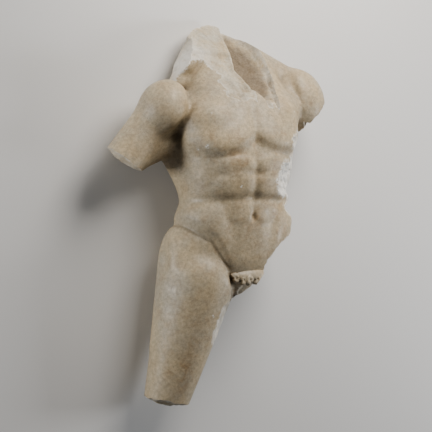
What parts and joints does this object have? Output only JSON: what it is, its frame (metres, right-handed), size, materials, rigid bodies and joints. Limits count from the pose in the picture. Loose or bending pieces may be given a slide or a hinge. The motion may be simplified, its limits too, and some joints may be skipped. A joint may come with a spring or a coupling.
{
  "type": "marble torso sculpture",
  "caption": "Broken marble torso of an athletic man with one thigh and an arm stump, lying on its back as a loose carved stone fragment.",
  "frame": {"origin": "middle of the footprint, on the floor that the back rests on", "axes": "+X to the figure's own left, +Y towards the head, +Z out of the chest and up"},
  "size_m": [0.5932, 0.9498, 0.2379],
  "materials": {
    "marble": "satin"
  },
  "bodies": {
    "root": {"torso": "marble"}
  },
  "joints": []
}
